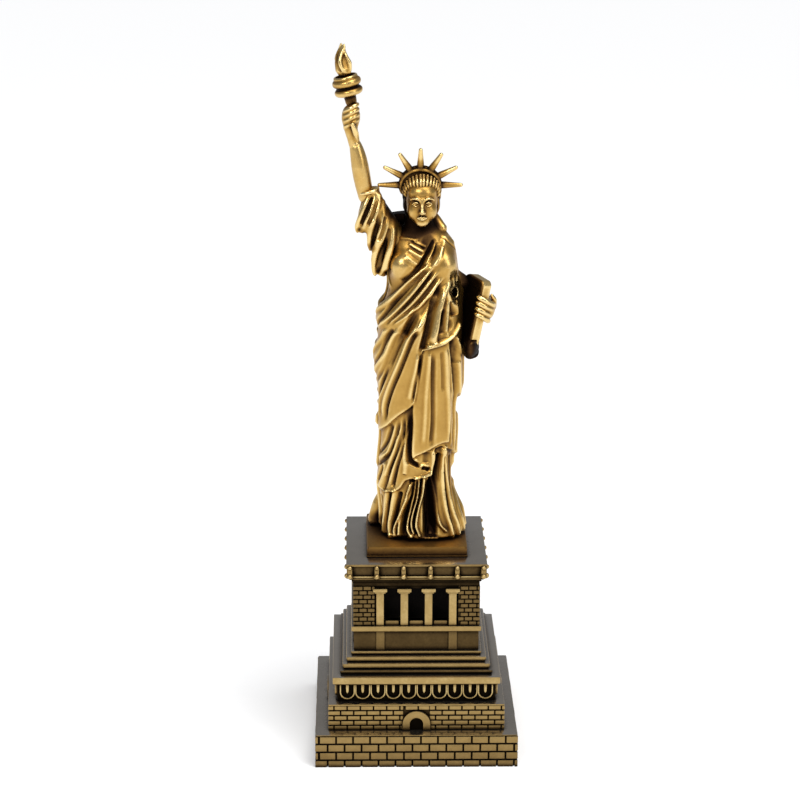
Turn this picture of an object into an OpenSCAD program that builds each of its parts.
// Souvenir statue: a robed figure with a raised torch on a tiered pedestal.
// Millimetres, +Z up, origin at the centre of the base where it rests on the table.
// The pedestal is a stack of hollow castings that one rod clamps together from below.

/* [Base] */
// Side of the square base tier
base_side = 70; // [69:0.5:72]
// Height of the base tier, with the felt under it
base_h = 12; // [11.5:0.5:16]
// Thickness of the felt pad
felt_t = 0.8; // [0.5:0.1:1]
// How far the felt stands below the metal rim
felt_proud = 0.3; // [0.1:0.1:0.4]
// Wall of the hollow castings
wall = 2.2; // [1.6:0.1:2.6]
// Thickness of the pressed bottom cover
cover_t = 1.2; // [0.8:0.1:1.4]
// Distance of each cover screw from the centre, along X and Y
screw_at = 28; // [26:0.5:29]

/* [Brick tiers] */
// Side of the second tier
second_side = 61; // [60:0.5:62]
// Height of the second tier
second_h = 9.6; // [9:0.1:12]
// Width of the mortar joints
joint_w = 0.45; // [0.3:0.05:0.6]
// Depth of the mortar joints
joint_d = 0.4; // [0.2:0.05:0.6]
// Outer radius of the arched doorway
arch_r = 4.8; // [4:0.1:5.2]

/* [Frieze and mouldings] */
// Side of the recessed wall behind the scallops
frieze_side = 54.6; // [53:0.1:56]
// Height of the arcade frieze
frieze_h = 6.4; // [6:0.1:8]
// Number of scallops on each side
scallops = 10; // [6:1:10]
// Side of the plain band
band_side = 57.8; // [57:0.1:58.6]
// Height of the plain band
band_h = 3; // [2:0.1:4]
// Height of the whole stepped moulding
steps_h = 7.2; // [7:0.1:9]

/* [Shaft] */
// Side of the dado block
dado_side = 43.2; // [42.6:0.1:43.8]
// Height of the dado block
dado_h = 7.3; // [6:0.1:9]
// Height of the sill course
sill_h = 1.8; // [1.2:0.1:2.4]
// Side of the shaft over its corner piers
shaft_side = 43.8; // [43.4:0.1:44]
// Height of the shaft
shaft_h = 16.5; // [16:0.1:20]
// Width of each brick corner pier
pier_w = 7.5; // [7:0.1:7.6]
// Width of a column
column_w = 2.6; // [2:0.1:3]
// Distance between column centres
column_pitch = 8.35; // [8:0.05:8.4]

/* [Cornice] */
// Side of the cap slab
cap_side = 48.3; // [48:0.1:50]
// Height of the architrave flange
architrave_h = 1.6; // [1.2:0.1:2]
// Height of the cornice block
cornice_h = 4.6; // [4.4:0.1:6]
// Height of the cap slab
cap_h = 0.8; // [0.6:0.1:1.6]
// Distance between the brackets under the cap
bracket_pitch = 9.2; // [8.8:0.1:9.4]

/* [Figure] */
// Side of the small plinth under the figure
plinth_side = 34.6; // [34:0.1:36]
// Height of that plinth
plinth_h = 3.8; // [3:0.1:5]
// Number of rays on the crown
rays = 7; // [5:2:7]
// Length of a ray from the crown's centre
ray_l = 14.4; // [12:0.1:14.5]
// How far the crown leans forward, in degrees
crown_lean = 20; // [10:1:24]
// How far the torch leans, in degrees
torch_lean = 13; // [8:1:14]

/* [Fixings] */
// Radius of the tie rod
rod_r = 2; // [1.5:0.1:2]
// How far the tie rod reaches into the figure
rod_in_figure = 11; // [6:1:16]
// Radius of the locating pins
pin_r = 1.2; // [0.8:0.1:1.2]

/* [Hidden] */
$fn = 48;
old_brass = [0.47, 0.38, 0.20];
bright_brass = [0.74, 0.58, 0.30];
dark_metal = [0.10, 0.09, 0.08];
plate_h = 1.8; // top plate of a hollow casting
gap = 0.2; // clearance round a piece that drops into another
bore_r = rod_r + gap;
z_second = base_h;
z_frieze = z_second + second_h;
z_band = z_frieze + frieze_h;
z_steps = z_band + band_h;
z_dado = z_steps + steps_h;
z_sill = z_dado + dado_h;
z_shaft = z_sill + sill_h;
z_architrave = z_shaft + shaft_h;
z_cornice = z_architrave + architrave_h;
z_cap = z_cornice + cornice_h;
z_plinth = z_cap + cap_h;
z_figure = z_plinth + plinth_h;
z_cover = felt_t + gap; // underside of the bottom cover
cavity_side = base_side - 2 * wall;
cover_side = cavity_side - 2 * gap;
boss_r = 3;
screw_r = 1.25;
screw_l = 6;
screw_head_r = 2.4;
screw_head_h = 1;
washer_r = 6;
washer_t = 1.2;
nut_across = 8;
nut_h = 4;
z_base_plate = base_h - plate_h; // underside of the base tier's top plate
core_side = 29;
panel_t = 3.5; // depth of a colonnade insert
panel_w = shaft_side - 2 * pier_w;
plinth_at = [0.25, 0, 0];
pin_at = 8; // distance of the plinth pins from the rod
pin_l = 6; // length of the pins inside the figure
neck_at = [1, 0.5, 106]; // foot of the neck pin, from the plinth's top
wrist_at = [-17.4, 0, 120]; // foot of the pin between sleeve and forearm
shoulder_at = [12.2, 4, 87.8]; // seam of the left arm, from the plinth's top
tablet_size = [3.8, 12, 28.4];

// Square prism centred on the Z axis
module block(side, h, z = 0) {
    translate([-side / 2, -side / 2, z]) cube([side, side, h]);
}

// Hollow square casting, open below, with a bore for the rod through its top plate
module shell(side, h, z) {
    difference() {
        block(side, h, z);
        block(side - 2 * wall, h - plate_h + 1, z - 1);
        translate([0, 0, z + h - plate_h - 1]) cylinder(h = plate_h + 2, r = bore_r);
    }
}

// Square plate with a bore for the rod
module plate(side, h, z) {
    difference() {
        block(side, h, z);
        translate([0, 0, z - 1]) cylinder(h = h + 2, r = bore_r);
    }
}

// Square band round a wall, used to cut the long mortar joints
module joint_ring(side, z) {
    difference() {
        block(side + 2, joint_w, z - joint_w / 2);
        block(side - 2 * joint_d, joint_w + 2, z - joint_w / 2 - 1);
    }
}

// A piece at each of the four sides, turned to face outwards
module each_side() {
    for (a = [0:90:270]) rotate([0, 0, a]) children();
}

module felt_pad() {
    color([0.08, 0.08, 0.09]) block(cavity_side - 1, felt_t);
}

module at_screws() {
    for (x = [-1, 1], y = [-1, 1]) translate([x * screw_at, y * screw_at, 0]) children();
}

module bottom_cover() {
    color([0.55, 0.55, 0.57]) difference() {
        block(cover_side, cover_t, z_cover);
        at_screws() {
            translate([0, 0, z_cover - 1]) cylinder(h = cover_t + 2, r = screw_r + gap);
            translate([0, 0, z_cover - 1]) cylinder(h = 1 + screw_head_h, r = screw_head_r + gap);
        }
    }
}

module cover_screws() {
    color([0.60, 0.60, 0.62]) at_screws() {
        translate([0, 0, z_cover]) difference() {
            cylinder(h = screw_head_h, r = screw_head_r);
            cube([0.5, 3.4, 1], center = true);
        }
        translate([0, 0, z_cover + screw_head_h]) cylinder(h = screw_l, r = screw_r);
    }
}

module tie_rod() {
    z_foot = z_base_plate - washer_t - nut_h - 1;
    color([0.58, 0.58, 0.60]) translate([0, 0, z_foot])
        cylinder(h = z_figure + rod_in_figure - z_foot, r = rod_r);
}

module tie_washer() {
    color([0.62, 0.62, 0.64]) translate([0, 0, z_base_plate - washer_t]) difference() {
        cylinder(h = washer_t, r = washer_r);
        translate([0, 0, -1]) cylinder(h = washer_t + 2, r = bore_r);
    }
}

module tie_nut() {
    color([0.64, 0.62, 0.55]) translate([0, 0, z_base_plate - washer_t - nut_h]) difference() {
        cylinder(h = nut_h, r = nut_across / 2 / cos(30), $fn = 6);
        translate([0, 0, -1]) cylinder(h = nut_h + 2, r = rod_r);
    }
}

module core_tube() {
    color(dark_metal) difference() {
        block(core_side, shaft_h, z_shaft);
        block(core_side - 2 * wall, shaft_h + 2, z_shaft - 1);
    }
}

module base_tier() {
    pitch = 3;
    color(old_brass) {
        difference() {
            block(base_side, base_h - felt_proud, felt_proud);
            block(cavity_side, z_base_plate, 0);
            translate([0, 0, z_base_plate - 1]) cylinder(h = plate_h + 2, r = bore_r);
            for (i = [0:3]) joint_ring(base_side, 2.6 + i * pitch);
        }
        difference() {
            at_screws() translate([0, 0, z_cover + cover_t])
                cylinder(h = z_base_plate - z_cover - cover_t, r = boss_r);
            at_screws() translate([0, 0, z_cover + cover_t - 1]) cylinder(h = screw_l, r = screw_r);
        }
    }
}

// Outline of an arched doorway's stone surround, standing on z = 0
module arch_outline(r) {
    springing = 2.4;
    translate([0, springing]) circle(r = r);
    translate([-r, 0]) square([2 * r, springing]);
}

module second_tier() {
    pitch = 1.85;
    inner_r = 2.25;
    proud = 0.5;
    color(old_brass) difference() {
        union() {
            difference() {
                shell(second_side, second_h, z_second);
                for (i = [0:4]) joint_ring(second_side, z_second + 1.7 + i * pitch);
            }
            each_side() translate([0, -second_side / 2 + 1, z_second]) rotate([90, 0, 0])
                linear_extrude(1 + proud) intersection() {
                    arch_outline(arch_r);
                    translate([-arch_r, 0]) square([2 * arch_r, second_h]);
                }
        }
        each_side() translate([0, -second_side / 2 + 1.2, z_second - 0.01]) rotate([90, 0, 0])
            linear_extrude(3) arch_outline(inner_r);
    }
}

module arcade_frieze() {
    pitch = (frieze_side - 1.6) / scallops;
    r = pitch / 2 - 0.15;
    proud = 1;
    z_centre = z_frieze + 0.9 + r;
    color(old_brass) {
        shell(frieze_side, frieze_h, z_frieze);
        each_side() for (i = [0:scallops - 1])
            translate([(i - (scallops - 1) / 2) * pitch, -frieze_side / 2, z_centre])
                rotate([90, 0, 0]) linear_extrude(proud) difference() {
                    union() {
                        circle(r = r);
                        translate([-r, 0]) square([2 * r, z_band - z_centre]);
                    }
                    circle(r = r - 0.7);
                    translate([-r + 0.7, 0]) square([2 * r - 1.4, z_band - z_centre + 1]);
                }
    }
}

module band_course() {
    color(old_brass) plate(band_side, band_h, z_band);
}

module stepped_moulding() {
    // each step as [side, bottom, top], measured from the moulding's foot
    steps = [[52.8, 0, 1.6], [51, 1.6, 3.7], [48.4, 3.7, 5.7], [45.2, 5.7, steps_h]];
    color(old_brass) difference() {
        for (s = steps) block(s[0], s[2] - s[1], z_steps + s[1]);
        block(dado_side - 2 * wall, steps_h - plate_h + 1, z_steps - 1);
        translate([0, 0, z_dado - plate_h - 1]) cylinder(h = plate_h + 2, r = bore_r);
    }
}

// Positions of the four columns on one side
function column_x(i) = (i - 1.5) * column_pitch;

module dado() {
    pad = 0.25;
    color(old_brass) {
        shell(dado_side, dado_h, z_dado);
        each_side() for (i = [0, 3])
            translate([column_x(i) - column_w / 2, -dado_side / 2 - pad, z_dado])
                cube([column_w, pad, dado_h]);
    }
}

module sill_course() {
    color(old_brass) plate(44.8, sill_h, z_sill);
}

module corner_piers() {
    arm = 7.4;
    pitch = 1.65;
    ring_h = 1.3;
    inner = shaft_side - 2 * panel_t;
    color(old_brass) difference() {
        union() {
            intersection() {
                block(shaft_side, shaft_h, z_shaft);
                for (x = [-1, 1], y = [-1, 1])
                    translate([x * shaft_side / 2, y * shaft_side / 2, z_shaft + shaft_h / 2])
                        cube([2 * arm, 2 * arm, shaft_h], center = true);
            }
            block(inner, ring_h, z_shaft);
            block(inner, ring_h, z_architrave - ring_h);
        }
        block(core_side + 2 * gap, shaft_h + 2, z_shaft - 1);
        for (i = [0:8]) joint_ring(shaft_side, z_shaft + 1.2 + i * pitch);
    }
}

// One side's insert, seen from in front: columns and capitals between parapet and top rail
module colonnade(angle) {
    parapet_h = 2;
    rail_h = 2.8;
    capital_w = 4.85;
    capital_h = 1.75;
    set_back = 0.6;
    column_h = shaft_h - rail_h - capital_h;
    w = panel_w - 2 * gap;
    color(old_brass) rotate([0, 0, angle]) translate([0, -shaft_side / 2, z_shaft]) {
        translate([-w / 2, set_back, 0]) cube([w, panel_t - set_back, parapet_h]);
        translate([-w / 2, set_back, shaft_h - rail_h]) cube([w, panel_t - set_back, rail_h]);
        for (i = [0:3]) translate([column_x(i), 0, 0]) {
            translate([-column_w / 2, 0, 0]) cube([column_w, panel_t, column_h]);
            translate([-column_w / 2, 0, column_h]) cube([column_w, panel_t, capital_h]);
            if (i == 1 || i == 2) translate([-capital_w / 2, 0, column_h])
                cube([capital_w, panel_t, capital_h]);
        }
    }
}

module colonnade_front() { colonnade(0); }
module colonnade_right() { colonnade(90); }
module colonnade_back() { colonnade(180); }
module colonnade_left() { colonnade(270); }

module architrave() {
    color(old_brass) plate(47.8, architrave_h, z_architrave);
}

module cornice() {
    body_side = 45.6;
    foot_w = 2.6;
    foot_h = 1.2;
    stem_w = 1.8;
    reach = cap_side / 2 - body_side / 2 - 0.2;
    color(old_brass) {
        shell(body_side, cornice_h, z_cornice);
        each_side() for (i = [-1.5:1.5]) translate([i * bracket_pitch, -body_side / 2 - reach, z_cornice]) {
            translate([-foot_w / 2, 0, 0]) cube([foot_w, reach, foot_h]);
            translate([-stem_w / 2, 0, foot_h]) cube([stem_w, reach, cornice_h - foot_h]);
        }
    }
}

module cap_slab() {
    color([0.42, 0.40, 0.36]) plate(cap_side, cap_h, z_cap);
}

module figure_plinth() {
    color(bright_brass) difference() {
        translate(plinth_at) block(plinth_side, plinth_h, z_plinth);
        translate([0, 0, z_plinth - 1]) cylinder(h = plinth_h + 2, r = bore_r);
        for (x = [-1, 1]) translate([x * pin_at, 0, z_figure - 2]) cylinder(h = 3, r = pin_r);
    }
}

module plinth_pins() {
    color([0.62, 0.62, 0.64]) for (x = [-1, 1])
        translate([x * pin_at, 0, z_figure - 2]) cylinder(h = 5, r = pin_r);
}

// ---- Figure: closed lofts through level rings, measured from the plinth's top ----

// Point i of n on a level oval that spans x0..x1 and y0..y1, with folds of depth fold
function oval_point(i, n, x0, x1, y0, y1, z, fold, folds) =
    let (a = 360 * i / n, grow = 1 + fold * sin(folds * a + 4 * z))
    [(x0 + x1) / 2 + (x1 - x0) / 2 * grow * cos(a), (y0 + y1) / 2 + (y1 - y0) / 2 * grow * sin(a), z];

// Value of column c of a table of rows [z, ...] at height z
function row_at(rows, z, c) = lookup(z, [for (r = rows) [r[0], r[c]]]);

// Rings through rows of [z, x0, x1, y0, y1]
function rings_of(rows, step, n, fold, folds) =
    let (z0 = rows[0][0], z1 = rows[len(rows) - 1][0], count = ceil((z1 - z0) / step))
    [for (k = [0:count]) let (z = z0 + (z1 - z0) * k / count)
        [for (i = [0:n - 1]) oval_point(i, n, row_at(rows, z, 1), row_at(rows, z, 2),
            row_at(rows, z, 3), row_at(rows, z, 4), z, fold, folds)]];

// Closed solid through a stack of rings that all have the same number of points
module loft(rings) {
    n = len(rings[0]);
    top = len(rings) - 1;
    sides = [for (k = [0:top - 1], j = [0:n - 1])
        let (a = k * n + j, b = k * n + (j + 1) % n) each [[a, a + n, b + n], [a, b + n, b]]];
    polyhedron([for (r = rings) each r],
        concat([[for (j = [0:n - 1]) j]], sides, [[for (j = [n - 1:-1:0]) top * n + j]]));
}

module on_plinth() {
    translate([0, 0, z_figure]) children();
}

module robe() {
    rows = [[0, -12, 15, -10.5, 10], [7, -13.2, 16.4, -11.5, 10.5], [16, -12.9, 13.2, -11, 10],
        [22, -13.6, 13, -11.5, 10], [31, -12.8, 13.4, -11.5, 9.5], [43, -13, 14.2, -12, 9],
        [53, -13.2, 15.2, -12, 9], [66, -14.6, 15.5, -11.5, 9], [75, -13, 14.4, -10.5, 8.5],
        [81, -13.6, 13.6, -10.5, 8], [90, -11.6, 13.4, -10.5, 8], [93, -9.8, 13.3, -11, 7.5],
        [97, -9.8, 13.2, -10.5, 7.5], [104, -9.8, 12.4, -8.5, 6.5], [107, -7, 9, -6.5, 5.5],
        [109, -3, 4.8, -3.5, 4.5]];
    color(bright_brass) on_plinth() difference() {
        loft(rings_of(rows, 2.5, 48, 0.02, 16));
        translate([0, 0, -1]) cylinder(h = rod_in_figure + 1, r = rod_r);
        for (x = [-1, 1]) translate([x * pin_at, 0, -1]) cylinder(h = 4, r = pin_r);
        translate(neck_at) cylinder(h = 5, r = pin_r);
        at_shoulder() cylinder(h = pin_l / 2 + 1, r = pin_r);
        tablet_pocket();
    }
}

module right_sleeve() {
    rows = [[93, -13.5, -11.4, -6, 2], [97, -14.6, -10.1, -7, 4], [102, -15.2, -10.1, -6.5, 5],
        [108, -19.4, -10.1, -5.5, 5], [112, -20.4, -10.2, -5, 5], [117, -19, -10.4, -4.5, 4.5],
        [121, -18.8, -11, -4, 4], [123, -18.6, -12.6, -3, 3]];
    color(bright_brass) on_plinth() difference() {
        loft(rings_of(rows, 1.6, 24, 0.02, 8));
        translate(wrist_at) cylinder(h = 5, r = pin_r);
    }
}

module forearm() {
    rows = [[123, -20.4, -15, -2.6, 2.8], [127, -21.8, -15.8, -2.8, 2.8], [132, -22.2, -16.9, -2.5, 2.5],
        [137, -23, -19, -1.8, 1.8]];
    color(bright_brass) on_plinth() difference() {
        loft(rings_of(rows, 1.6, 24, 0, 8));
        translate(wrist_at) cylinder(h = pin_l, r = pin_r);
    }
}

module torch_hand() {
    rows = [[137, -23, -19, -1.8, 1.8], [141, -24, -20, -1.7, 1.7], [144, -25, -19.4, -2.4, 2.2],
        [148, -25.3, -18.7, -3, 2.6], [151, -24.6, -19.4, -2.4, 2.2]];
    color(bright_brass) on_plinth() difference() {
        loft(rings_of(rows, 1.2, 24, 0, 8));
        at_torch() translate([0, 0, -4]) cylinder(h = 6, r = pin_r);
    }
}

// Puts children on the torch's leaning axis, whose foot is at the top of the hand
module at_torch() {
    translate([-22, 0, 151]) rotate([0, -torch_lean, 0]) children();
}

module torch() {
    ring_r = 4.5;
    ring_h = 1.6;
    peg_l = 4;
    color(bright_brass) on_plinth() at_torch() {
        translate([0, 0, -peg_l]) cylinder(h = peg_l + 0.6, r = pin_r);
        translate([0, 0, 0.6]) cylinder(h = 1.8, r1 = 2.3, r2 = 1.6);
        translate([0, 0, 2.4]) cylinder(h = 1.6, r1 = 1.6, r2 = 2.4);
        translate([0, 0, 4]) cylinder(h = ring_h, r = ring_r);
        translate([0, 0, 4 + ring_h]) cylinder(h = 1.2, r = ring_r - 1);
        translate([0, 0, 5.2 + ring_h]) cylinder(h = ring_h, r = ring_r);
    }
}

module flame() {
    rows = [[0, -1.5, 1.5, -1.5, 1.5], [2, -2.4, 2.4, -2.1, 2.1], [4, -2.8, 3, -2.2, 2.2],
        [7, -2.4, 2.6, -1.7, 1.7], [9.6, -0.2, 2.2, -0.9, 0.9], [11.4, 1.3, 2, -0.3, 0.3]];
    color(bright_brass) on_plinth() at_torch() translate([0, 0, 8.4])
        loft(rings_of(rows, 0.9, 16, 0, 4));
}

module head() {
    rows = [[109, -3, 4.8, -3.5, 4.5], [111, -3.6, 5.6, -5.5, 5.5], [113, -4.8, 6.8, -6.6, 6.8],
        [117, -5.3, 7.2, -7, 7.6], [121, -5.3, 7.2, -7, 8], [124, -4.7, 6.7, -6, 7.6],
        [127, -3.2, 5.2, -4, 6], [128.4, -1, 3, -2, 3.6], [128.8, 0.4, 1.6, -1, 1.6]];
    color(bright_brass) on_plinth() difference() {
        loft(rings_of(rows, 1, 32, 0, 8));
        translate(neck_at) cylinder(h = pin_l, r = pin_r);
    }
}

module neck_pin() {
    color([0.62, 0.62, 0.64]) on_plinth() translate(neck_at) cylinder(h = pin_l, r = pin_r);
}

// Open band over the head from side to side, with the rays in the same leaning plane
module crown() {
    outer_r = 7.2;
    inner_r = 5.95;
    band_t = 2.4;
    ray_t = 1.6;
    root_w = 2;
    tip_w = 1;
    color(bright_brass) on_plinth() translate([1, 0.5, 123.7]) rotate([90 + crown_lean, 0, 0]) {
        translate([0, 0, -band_t / 2]) linear_extrude(band_t) difference() {
            circle(r = outer_r);
            circle(r = inner_r);
            translate([-10, -11]) square([20, 10]);
        }
        for (i = [0:rays - 1]) rotate([0, 0, 180 * i / (rays - 1)])
            translate([0, 0, -ray_t / 2]) linear_extrude(ray_t) polygon([[inner_r + 0.3, -root_w / 2],
                [ray_l, -tip_w / 2], [ray_l, tip_w / 2], [inner_r + 0.3, root_w / 2]]);
    }
}

// Puts children on the axis of the left shoulder's pin, pointing outwards
module at_shoulder() {
    translate(shoulder_at - [pin_l / 2, 0, 0]) rotate([0, 90, 0]) children();
}

module left_arm() {
    r = 3.2;
    shoulder = shoulder_at + [r, 0, 0];
    elbow = [20.5, 13.5, 79];
    wrist = [24.8, 3, 82];
    hand = [24.2, -7, 82.5];
    color(bright_brass) on_plinth() difference() {
        union() {
            hull() {
                translate(shoulder) sphere(r = r, $fn = 24);
                translate(elbow) sphere(r = r, $fn = 24);
            }
            hull() {
                translate(elbow) sphere(r = r, $fn = 24);
                translate(wrist) sphere(r = 2, $fn = 24);
            }
            hull() {
                translate(wrist) sphere(r = 2, $fn = 24);
                translate(hand) sphere(r = 2.6, $fn = 24);
            }
        }
        at_shoulder() cylinder(h = pin_l, r = pin_r);
        tablet_pocket();
    }
}

// Puts children in the tablet's own axes, with its front lower outer edge on the Z axis
module at_tablet() {
    translate([16.6, -8.5, 64]) rotate([0, 11.5, 0]) rotate([0, 0, 30]) children();
}

// Room for the tablet in the robe's side and in the arm
module tablet_pocket() {
    at_tablet() translate([-gap, -gap, -gap]) cube(tablet_size + [2 * gap, 2 * gap, 2 * gap]);
}

// Slab with two rounded upper corners, larger at the back
module tablet() {
    front_r = 1.6;
    back_r = 4;
    d = tablet_size[1];
    h = tablet_size[2];
    color(bright_brass) on_plinth() at_tablet() rotate([90, 0, 90]) linear_extrude(tablet_size[0]) hull() {
        square([d, h - back_r]);
        translate([front_r, h - front_r]) circle(r = front_r);
        translate([d - back_r, h - back_r]) circle(r = back_r);
    }
}

module arm_pins() {
    color([0.62, 0.62, 0.64]) on_plinth() {
        translate(wrist_at) cylinder(h = pin_l, r = pin_r);
        at_shoulder() cylinder(h = pin_l, r = pin_r);
    }
}

felt_pad();
bottom_cover();
cover_screws();
tie_rod();
tie_washer();
tie_nut();
core_tube();
base_tier();
second_tier();
arcade_frieze();
band_course();
stepped_moulding();
dado();
sill_course();
corner_piers();
colonnade_front();
colonnade_right();
colonnade_back();
colonnade_left();
architrave();
cornice();
cap_slab();
figure_plinth();
plinth_pins();
robe();
right_sleeve();
forearm();
torch_hand();
torch();
flame();
head();
neck_pin();
crown();
left_arm();
tablet();
arm_pins();
